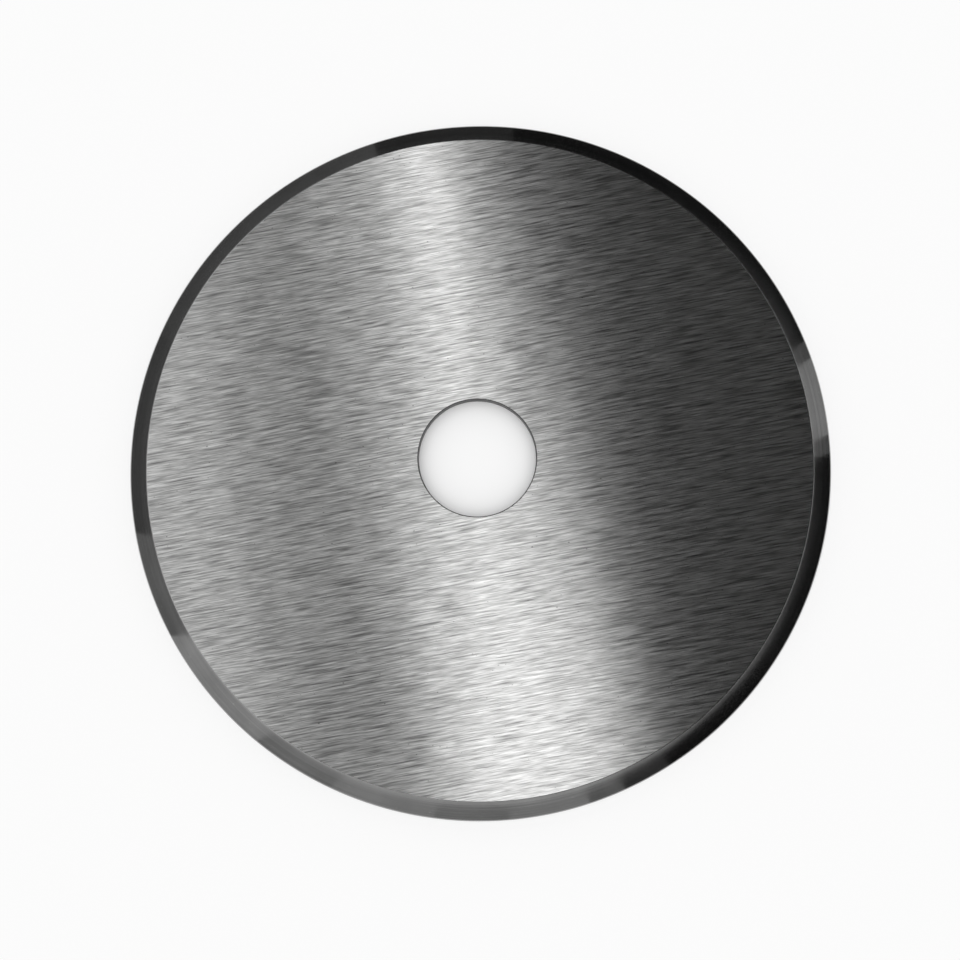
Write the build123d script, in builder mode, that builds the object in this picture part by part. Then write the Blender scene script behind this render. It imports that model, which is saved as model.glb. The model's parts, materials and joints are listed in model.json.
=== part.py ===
import os

from build123d import *

# A circular slicing knife, turned and ground from one steel disc.
# The origin is on the bore axis at the flat back face, and +Z points to the bevelled face.

# Disc
outer_diameter = 150.0
bore_diameter = 25.0
thickness = 2.5

# Cutting edge, ground on the +Z side only
bevel_width = 4.4  # radial, from the rim to the ridge where the flat face starts
ridge_radius = 0.5  # round that the finishing belt leaves on the ridge
hone_width = 0.25  # radial width of the final, steeper bevel at the rim
hone_angle = 40.0  # from the back face, in degrees
edge_land = 0.05  # height of the blunt band at the very rim

# Both mouths of the bore
bore_edge_break = 0.2

rim_radius = outer_diameter / 2
bore_radius = bore_diameter / 2

with BuildPart() as slicer_blade:
    # Half of the section, from the bore to the rim
    with BuildSketch(Plane.XZ):
        with BuildLine():
            back_face = Line((bore_radius, 0), (rim_radius, 0))
            land = Line(back_face @ 1, (rim_radius, edge_land))
            hone = PolarLine(
                land @ 1,
                hone_width,
                180 - hone_angle,
                length_mode=LengthMode.HORIZONTAL,
            )
            bevel = Line(hone @ 1, (rim_radius - bevel_width, thickness))
            front_face = Line(bevel @ 1, (bore_radius, thickness))
            Line(front_face @ 1, back_face @ 0)
        make_face()
    revolve(axis=Axis.Z)

    bore_mouths = slicer_blade.edges().filter_by(GeomType.CIRCLE).group_by(SortBy.RADIUS)[0]
    chamfer(bore_mouths, bore_edge_break)

    # The ridge is the outer border of the flat front face
    front = slicer_blade.faces().filter_by(Plane.XY).sort_by(Axis.Z)[-1]
    fillet(front.outer_wire().edges(), ridge_radius)

slicer_blade.part.label = "slicer_blade"

os.makedirs("parts", exist_ok=True)
export_step(slicer_blade.part, "parts/slicer_blade.step")
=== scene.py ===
import json
import math

import bmesh
import bpy
from mathutils import Matrix, Vector


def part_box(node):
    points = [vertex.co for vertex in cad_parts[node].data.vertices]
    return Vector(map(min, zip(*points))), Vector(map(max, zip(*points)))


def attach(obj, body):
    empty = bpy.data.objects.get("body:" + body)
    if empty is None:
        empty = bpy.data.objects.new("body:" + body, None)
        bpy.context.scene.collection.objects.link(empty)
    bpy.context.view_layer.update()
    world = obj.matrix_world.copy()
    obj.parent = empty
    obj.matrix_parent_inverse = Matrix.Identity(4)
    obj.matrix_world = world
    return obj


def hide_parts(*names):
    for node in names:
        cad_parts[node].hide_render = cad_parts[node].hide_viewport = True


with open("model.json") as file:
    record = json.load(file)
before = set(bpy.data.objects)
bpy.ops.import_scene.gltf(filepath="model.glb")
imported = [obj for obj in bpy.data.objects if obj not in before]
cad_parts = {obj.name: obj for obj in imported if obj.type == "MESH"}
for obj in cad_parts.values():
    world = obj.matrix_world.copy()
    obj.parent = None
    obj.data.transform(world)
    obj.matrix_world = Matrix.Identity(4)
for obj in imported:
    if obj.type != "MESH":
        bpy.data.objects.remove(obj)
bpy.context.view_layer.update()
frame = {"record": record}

# Lengths are in metres and angles in degrees, unless a name says otherwise.

# The disc and its bore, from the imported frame
BLADE_LOW, BLADE_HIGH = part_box("slicer_blade")
THICKNESS = BLADE_HIGH[2] - BLADE_LOW[2]
RIM_RADIUS = min(-BLADE_LOW[0], -BLADE_LOW[1], BLADE_HIGH[0], BLADE_HIGH[1])
MM_PER_METRE = 1000
BORE_RADIUS = frame["record"]["mounts"][0]["dims"]["r_mm"] / MM_PER_METRE

# The ground edge and the bore's edge breaks, with the sizes that the part's source gives them
BEVEL_WIDTH = 0.0044
RIDGE_RADIUS = 0.0005
HONE_WIDTH = 0.00025
HONE_ANGLE = 40.0
EDGE_LAND = 0.00005
BORE_EDGE_BREAK = 0.0002

# The turned mesh: how finely it is divided, and how sharp an edge has to be to show as a crease
RIDGE_STEPS = 5
SEGMENTS = 720
CREASE_ANGLE = 8.0
ZONE_SLOTS = {"front": 0, "back": 0, "bevel": 1, "hone": 2, "bore": 3}
BRUSHING_MAP = "brushing"

# Steels, from the light face to the dark bore wall. The bevel, edge and bore are the face's steel;
# their darker tones are painted shade.
STEEL = (0.60, 0.60, 0.595)
# Painted shade: the ground bevel and honed edge, written darker than the face's steel to stand in for
# the dark surroundings they reflect
GROUND_STEEL_WITH_PAINTED_SHADE = (0.34, 0.34, 0.338)
# Painted shade: the bore wall, the face's steel written near black for the shade inside the hole
BORE_STEEL_WITH_PAINTED_SHADE = (0.10, 0.10, 0.10)

# Marks on the faces. Each layer has its turn from the strokes, the length and width of a mark,
# and the detail and roughness of its noise.
STROKE_ANGLE = 10.0
FINE_LAYER = (0.0, 0.0066, 0.00030, 2.0, 0.75)
STROKE_LAYER = (1.2, 0.0090, 0.00050, 1.0, 0.5)
BAND_LAYER = (-0.8, 0.055, 0.0024, 2.0, 0.55)
PIT_LAYER = (0.0, 0.0007, 0.00040, 0.0, 0.5)

# What a layer does to the face: its lower and upper noise level, and the result at each
DARK_STROKES = (0.34, 0.50, 0.66, 1.03)
STREAKS = (0.28, 0.72, 0.42, 1.54)
CLOUDS = (0.30, 0.70, 0.93, 1.06)
PITS = (0.12, 0.20, 0.45, 1.0)
FACE_ROUGHNESS = (0.30, 0.70, 0.29, 0.37)

# Shares of the two layers in the face's bump, the bump's strength and distance, and the gloss
FINE_HEIGHT = 0.45
STROKE_HEIGHT = 0.85
FACE_BUMP = (0.35, 0.00003)
FACE_ANISOTROPY = 0.97

# Marks that run round the axis: how close they lie across the profile, how often they change on
# the way round, and the detail and roughness of their noise
RINGS_PER_METRE = 3600.0
BREAKS_PER_METRE = 22.0
RING_NOISE = (3.0, 0.6)

# Scale and detail of the clouds and specks over these marks
RING_CLOUD_NOISE = (90.0, 3.0)
SPECK_NOISE = (1900.0, 1.0)

# What each of them does to the tone, given as for the face
RING_TONES = (0.30, 0.70, 0.86, 1.14)
RING_CLOUDS = (0.30, 0.70, 0.90, 1.10)
SPECKS = (0.74, 0.80, 1.0, 1.7)

# Between these noise levels the roughness goes from the first share of its value to the second.
RING_ROUGHNESS_LEVELS = (0.30, 0.70)
RING_ROUGHNESS_SHARES = (0.9, 1.15)
RING_BUMP_DISTANCE = 0.00001

# Each finish has its steel, roughness, anisotropy and bump strength. Its steel is darkened by painted
# shade.
RING_FINISHES = {
    "ground_bevel_painted_shade": (GROUND_STEEL_WITH_PAINTED_SHADE, 0.19, 0.6, 0.15),
    "honed_edge_painted_shade": (GROUND_STEEL_WITH_PAINTED_SHADE, 0.18, 0.5, 0.1),
    "turned_bore_painted_shade": (BORE_STEEL_WITH_PAINTED_SHADE, 0.32, 0.7, 0.4),
}

# Camera, fitted to the blade's outer edge, ridge and bore in the photograph
CAMERA_AZIMUTH = 12.57
CAMERA_ELEVATION = 83.40
CAMERA_DISTANCE = 0.2000
CAMERA_TARGET = Vector((0.00054, -0.0045, 0.0))
CAMERA_CLIP_START = 0.01
LENS_MM = 35.1
SENSOR_MM = 36.0

FLOOR_SIZE = 6.0
FLOOR_COLOUR = (0.97, 0.97, 0.97, 1)
FLOOR_ROUGHNESS = 0.9

WORLD_COLOUR = (1, 1, 1, 1)
WORLD_STRENGTH = 1.0

# Cards over the blade, in a frame turned with the strokes. Each has its left and right border,
# its near and far border, its height and its tone. The lower cards cover the upper ones.
UPPER_HEIGHT = 0.60
LOWER_HEIGHT = 0.58
FAR_END = 1.30
NEAR_END = -1.10
OVERHEAD_CARDS = {
    "card_left_edge": (-0.45, -0.240, NEAR_END, FAR_END, UPPER_HEIGHT, 0.72),
    "card_left": (-0.240, -0.020, NEAR_END, FAR_END, UPPER_HEIGHT, 0.28),
    "card_middle": (-0.020, 0.055, NEAR_END, FAR_END, UPPER_HEIGHT, 0.16),
    "card_right": (0.055, 0.85, NEAR_END, FAR_END, UPPER_HEIGHT, 0.03),
    "far_strip": (-0.028, 0.016, 0.17, 0.80, LOWER_HEIGHT, 3.3),
    "far_strip_left": (-0.120, -0.096, 0.12, 0.55, LOWER_HEIGHT, 1.0),
    "far_strip_edge": (-0.215, -0.190, 0.10, 0.40, LOWER_HEIGHT, 0.6),
    "near_box": (-0.080, 0.086, -0.46, -0.06, LOWER_HEIGHT, 2.7),
}

# Low cards close round the rim, where only the bevel shows them. They slope from an inner to an
# outer circle, each given by its radius and height. Each card runs anticlockwise from its first
# angle, counted from +X, to its second, and has its tone.
RING_INNER = (0.0756, 0.0002)
RING_OUTER = (0.098, 0.014)
RING_CARDS = {
    "flag_patch_end": (17, 20, 0.14),
    "flag_right_upper": (20, 84, 0.012),
    "flag_top": (84, 108, 0.04),
    "flag_left_top": (108, 158, 0.12),
    "flag_left": (158, 192, 0.10),
    "flag_left_low": (192, 210, 0.24),
    "flag_low_bright": (210, 232, 0.56),
    "flag_low_grey": (232, 246, 0.34),
    "flag_bottom_left": (246, 263, 0.46),
    "flag_bottom": (263, 275, 0.34),
    "flag_bottom_right": (275, 288, 0.46),
    "flag_right_fade": (288, 294, 0.24),
    "flag_right_dim": (294, 302, 0.07),
    "flag_right_lower": (302, 361, 0.012),
    "flag_patch_start": (361, 364, 0.14),
    "flag_patch": (4, 17, 0.42),
}


def make_camera():
    """Looks down on the blade from a little in front, with image up along +Y."""
    azimuth, elevation = math.radians(CAMERA_AZIMUTH), math.radians(CAMERA_ELEVATION)
    back = Vector((
        math.sin(azimuth) * math.cos(elevation),
        -math.cos(azimuth) * math.cos(elevation),
        math.sin(elevation),
    ))
    right = (-back).cross(Vector((0, 1, 0))).normalized()
    up = back.cross(right)
    data = bpy.data.cameras.new("camera")
    data.lens, data.sensor_width = LENS_MM, SENSOR_MM
    data.clip_start = CAMERA_CLIP_START
    camera = bpy.data.objects.new("camera", data)
    place = Matrix.Translation(CAMERA_TARGET + back * CAMERA_DISTANCE)
    camera.matrix_world = place @ Matrix((right, up, back)).transposed().to_4x4()
    bpy.context.collection.objects.link(camera)
    bpy.context.scene.camera = camera


def ridge_points(start, corner, end):
    """The round between the bevel and the face, from a tangent point on each."""
    into, out = (start - corner).normalized(), (end - corner).normalized()
    half = into.angle(out) / 2
    reach = RIDGE_RADIUS / math.tan(half)
    centre = corner + (into + out).normalized() * RIDGE_RADIUS / math.sin(half)
    first, last = corner + into * reach - centre, corner + out * reach - centre
    sweep = first.angle(last)
    points = []
    for i in range(RIDGE_STEPS + 1):
        share = i / RIDGE_STEPS
        spoke = first * math.sin(sweep * (1 - share)) + last * math.sin(sweep * share)
        points.append(centre + spoke / math.sin(sweep))
    return points


def blade_section():
    """Closed section as (radius, height, zone of the strip that follows)."""
    hone_height = HONE_WIDTH * math.tan(math.radians(HONE_ANGLE))
    hone_top = Vector((RIM_RADIUS - HONE_WIDTH, EDGE_LAND + hone_height))
    corner = Vector((RIM_RADIUS - BEVEL_WIDTH, THICKNESS))
    mouth = BORE_RADIUS + BORE_EDGE_BREAK
    ridge = ridge_points(hone_top, corner, Vector((BORE_RADIUS, THICKNESS)))
    points = [
        (BORE_RADIUS, BORE_EDGE_BREAK, "bore"),
        (mouth, 0.0, "back"),
        (RIM_RADIUS, 0.0, "hone"),
        (RIM_RADIUS, EDGE_LAND, "hone"),
        (hone_top.x, hone_top.y, "bevel"),
    ]
    points += [(p.x, p.y, "bevel") for p in ridge[:-1]]
    points += [(ridge[-1].x, ridge[-1].y, "front")]
    points += [(mouth, THICKNESS, "bore"), (BORE_RADIUS, THICKNESS - BORE_EDGE_BREAK, "bore")]
    return points


def map_corner(layer, loop, zone, radius, height, turn):
    """One map for all zones: u runs across the strokes on the faces and across the rings elsewhere."""
    place = loop.vert.co
    stroke = math.radians(STROKE_ANGLE)
    if zone in ("front", "back"):
        across = -place.x * math.sin(stroke) + place.y * math.cos(stroke)
        along = place.x * math.cos(stroke) + place.y * math.sin(stroke)
        loop[layer].uv = (across, along)
    else:
        loop[layer].uv = (radius - height, turn * radius)


def add_ring(build, radius, height):
    """One circle of vertices round the axis."""
    return [
        build.verts.new((
            radius * math.cos(2 * math.pi * k / SEGMENTS),
            radius * math.sin(2 * math.pi * k / SEGMENTS),
            height,
        ))
        for k in range(SEGMENTS)
    ]


def add_strip(build, layer, here, there, start, end):
    """The faces between two rings, in the zone that the section gives at its start."""
    radius, height, zone = start
    next_radius, next_height, _ = end
    corners = ((radius, height),) * 2 + ((next_radius, next_height),) * 2
    for k in range(SEGMENTS):
        after = (k + 1) % SEGMENTS
        face = build.faces.new((here[k], here[after], there[after], there[k]))
        face.material_index = ZONE_SLOTS[zone]
        face.smooth = True
        for loop, turn, (r, z) in zip(face.loops, (k, k + 1, k + 1, k), corners):
            map_corner(layer, loop, zone, r, z, 2 * math.pi * turn / SEGMENTS)


def make_blade(materials):
    """The whole blade as one turned mesh with a crease only where the real one has an edge."""
    mesh = bpy.data.meshes.new("ground_blade")
    build = bmesh.new()
    layer = build.loops.layers.uv.new(BRUSHING_MAP)
    section = blade_section()
    rings = [add_ring(build, radius, height) for radius, height, _ in section]
    for i, here in enumerate(rings):
        following = (i + 1) % len(rings)
        add_strip(build, layer, here, rings[following], section[i], section[following])
    bmesh.ops.recalc_face_normals(build, faces=build.faces)
    for edge in build.edges:
        if len(edge.link_faces) == 2 and edge.calc_face_angle(0) > math.radians(CREASE_ANGLE):
            edge.smooth = False
    build.to_mesh(mesh)
    build.free()
    for material in materials:
        mesh.materials.append(material)
    blade = bpy.data.objects.new("ground_blade", mesh)
    bpy.context.collection.objects.link(blade)
    return blade


class Shader:
    """Short ways to add and join nodes in one material."""

    def __init__(self, name):
        self.material = bpy.data.materials.new(name)
        self.material.use_nodes = True
        self.nodes = self.material.node_tree.nodes
        self.links = self.material.node_tree.links
        self.surface = self.nodes["Principled BSDF"]

    def add(self, kind, **settings):
        node = self.nodes.new("ShaderNode" + kind)
        for key, value in settings.items():
            setattr(node, key, value)
        return node

    def join(self, output, socket):
        self.links.new(output, socket)

    def ramp(self, source, low, high, to_low, to_high):
        node = self.add("MapRange")
        limits = {"From Min": low, "From Max": high, "To Min": to_low, "To Max": to_high}
        for name, value in limits.items():
            node.inputs[name].default_value = value
        self.join(source, node.inputs["Value"])
        return node.outputs["Result"]

    def math(self, operation, *values):
        node = self.add("Math", operation=operation)
        for socket, value in zip(node.inputs, values):
            if isinstance(value, (int, float)):
                socket.default_value = value
            else:
                self.join(value, socket)
        return node.outputs[0]

    def noise(self, coordinates, scale, detail, roughness=0.5):
        node = self.add("TexNoise")
        node.inputs["Scale"].default_value = scale
        node.inputs["Detail"].default_value = detail
        node.inputs["Roughness"].default_value = roughness
        self.join(coordinates, node.inputs["Vector"])
        return node.outputs["Fac"]

    def stroke_noise(self, coordinates, turn, length, width, detail, roughness):
        """Noise drawn out into marks of the given length and width, along the strokes."""
        node = self.add("Mapping", vector_type="TEXTURE")
        node.inputs["Rotation"].default_value = (0, 0, math.radians(STROKE_ANGLE + turn))
        node.inputs["Scale"].default_value = (length, width, 1)
        self.join(coordinates, node.inputs["Vector"])
        return self.noise(node.outputs["Vector"], 1.0, detail, roughness)

    def paint(self, steel, tone):
        """Colours the surface with a steel, made lighter and darker by its marks."""
        node = self.add("VectorMath", operation="SCALE")
        node.inputs[0].default_value = steel
        self.join(tone, node.inputs["Scale"])
        self.join(node.outputs["Vector"], self.surface.inputs["Base Color"])

    def emboss(self, height, strength, distance):
        """Lets the marks tilt the surface as if they were that deep."""
        node = self.add("Bump")
        node.inputs["Strength"].default_value = strength
        node.inputs["Distance"].default_value = distance
        self.join(height, node.inputs["Height"])
        self.join(node.outputs["Normal"], self.surface.inputs["Normal"])

    def finish_steel(self, anisotropy):
        """Makes the surface metal, with its gloss drawn out across the marks of the brushing map."""
        self.surface.inputs["Metallic"].default_value = 1.0
        self.surface.inputs["Anisotropic"].default_value = anisotropy
        tangent = self.add("Tangent", direction_type="UV_MAP", uv_map=BRUSHING_MAP)
        self.join(tangent.outputs["Tangent"], self.surface.inputs["Tangent"])


def brushed_face():
    """Linear belt finish: short overlapping strokes, streaky in tone, height and gloss."""
    s = Shader("brushed_face")
    place = s.add("TexCoord").outputs["Object"]
    fine = s.stroke_noise(place, *FINE_LAYER)
    strokes = s.stroke_noise(place, *STROKE_LAYER)
    bands = s.stroke_noise(place, *BAND_LAYER)
    pits = s.stroke_noise(place, *PIT_LAYER)
    tone = s.math(
        "MULTIPLY",
        s.math("MULTIPLY", s.ramp(strokes, *DARK_STROKES), s.ramp(fine, *STREAKS)),
        s.math("MULTIPLY", s.ramp(bands, *CLOUDS), s.ramp(pits, *PITS)),
    )
    height = s.math(
        "ADD", s.math("MULTIPLY", fine, FINE_HEIGHT), s.math("MULTIPLY", strokes, STROKE_HEIGHT)
    )
    s.paint(STEEL, tone)
    s.join(s.ramp(strokes, *FACE_ROUGHNESS), s.surface.inputs["Roughness"])
    s.emboss(height, *FACE_BUMP)
    s.finish_steel(FACE_ANISOTROPY)
    return s.material


def ring_ground(name, steel, roughness, anisotropy, bump_strength):
    """Ground finish with fine marks that run round the axis, and a few bright specks, on a steel that
    is darkened by painted shade.
    """
    s = Shader(name)
    place = s.add("TexCoord").outputs["Object"]
    split = s.add("SeparateXYZ")
    s.join(place, split.inputs["Vector"])
    x, y, z = split.outputs
    radius = s.math("SQRT", s.math("ADD", s.math("MULTIPLY", x, x), s.math("MULTIPLY", y, y)))
    profile = s.math("SUBTRACT", radius, z)
    rings = s.add("CombineXYZ")
    s.join(s.math("MULTIPLY", profile, RINGS_PER_METRE), rings.inputs["X"])
    s.join(s.math("MULTIPLY", x, BREAKS_PER_METRE), rings.inputs["Y"])
    s.join(s.math("MULTIPLY", y, BREAKS_PER_METRE), rings.inputs["Z"])
    marks = s.noise(rings.outputs["Vector"], 1.0, *RING_NOISE)
    clouds = s.noise(place, *RING_CLOUD_NOISE)
    specks = s.noise(place, *SPECK_NOISE)
    tone = s.math(
        "MULTIPLY",
        s.math("MULTIPLY", s.ramp(marks, *RING_TONES), s.ramp(clouds, *RING_CLOUDS)),
        s.ramp(specks, *SPECKS),
    )
    gloss = [roughness * share for share in RING_ROUGHNESS_SHARES]
    s.paint(steel, tone)
    s.join(s.ramp(marks, *RING_ROUGHNESS_LEVELS, *gloss), s.surface.inputs["Roughness"])
    s.emboss(marks, bump_strength, RING_BUMP_DISTANCE)
    s.finish_steel(anisotropy)
    return s.material


def matt_floor():
    """A plain matt white."""
    s = Shader("floor_white")
    s.surface.inputs["Base Color"].default_value = FLOOR_COLOUR
    s.surface.inputs["Roughness"].default_value = FLOOR_ROUGHNESS
    s.surface.inputs["Specular IOR Level"].default_value = 0.0
    return s.material


def make_floor():
    bpy.ops.mesh.primitive_plane_add(size=FLOOR_SIZE)
    floor = bpy.context.object
    floor.name = "floor"
    floor.data.materials.append(matt_floor())


def card_material(name, level):
    """A card of plain tone. What it gives off is what the steel shows of it."""
    material = bpy.data.materials.new(name)
    material.use_nodes = True
    nodes = material.node_tree.nodes
    nodes.clear()
    glow = nodes.new("ShaderNodeEmission")
    glow.inputs["Color"].default_value = (level, level, level, 1)
    out = nodes.new("ShaderNodeOutputMaterial")
    material.node_tree.links.new(glow.outputs[0], out.inputs[0])
    return material


def make_card(name, corners, faces, level):
    """A studio card that only the steel's reflections see."""
    mesh = bpy.data.meshes.new(name)
    mesh.from_pydata(corners, [], faces)
    mesh.materials.append(card_material(name, level))
    card = bpy.data.objects.new(name, mesh)
    bpy.context.collection.objects.link(card)
    card.visible_camera = card.visible_diffuse = card.visible_shadow = False
    card.visible_transmission = card.visible_volume_scatter = False


def make_overhead_cards():
    turn = Matrix.Rotation(math.radians(STROKE_ANGLE), 3, "Z")
    for name, (left, right, near, far, height, level) in OVERHEAD_CARDS.items():
        borders = [(left, far), (right, far), (right, near), (left, near)]
        corners = [tuple(turn @ Vector((x, y, height))) for x, y in borders]
        make_card(name, corners, [(0, 1, 2, 3)], level)


def ring_arc(circle, turns):
    radius, height = circle
    return [(radius * math.cos(a), radius * math.sin(a), height) for a in turns]


def make_ring_cards():
    for name, (start, end, level) in RING_CARDS.items():
        turns = [math.radians(a) for a in range(start, end + 1)]
        count = len(turns)
        corners = ring_arc(RING_INNER, turns) + ring_arc(RING_OUTER, turns)
        faces = [(i, i + 1, count + i + 1, count + i) for i in range(count - 1)]
        make_card(name, corners, faces, level)


def make_world():
    """A plain white world, which is the only light on the floor."""
    world = bpy.data.worlds.new("studio")
    world.use_nodes = True
    world.node_tree.nodes["Background"].inputs["Color"].default_value = WORLD_COLOUR
    world.node_tree.nodes["Background"].inputs["Strength"].default_value = WORLD_STRENGTH
    bpy.context.scene.world = world


make_camera()
finishes = [brushed_face()]
finishes += [ring_ground(name, *finish) for name, finish in RING_FINISHES.items()]
blade = make_blade(finishes)
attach(blade, "root")
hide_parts("slicer_blade")
make_floor()
make_overhead_cards()
make_ring_cards()
make_world()
bpy.context.scene.view_settings.view_transform = "Standard"
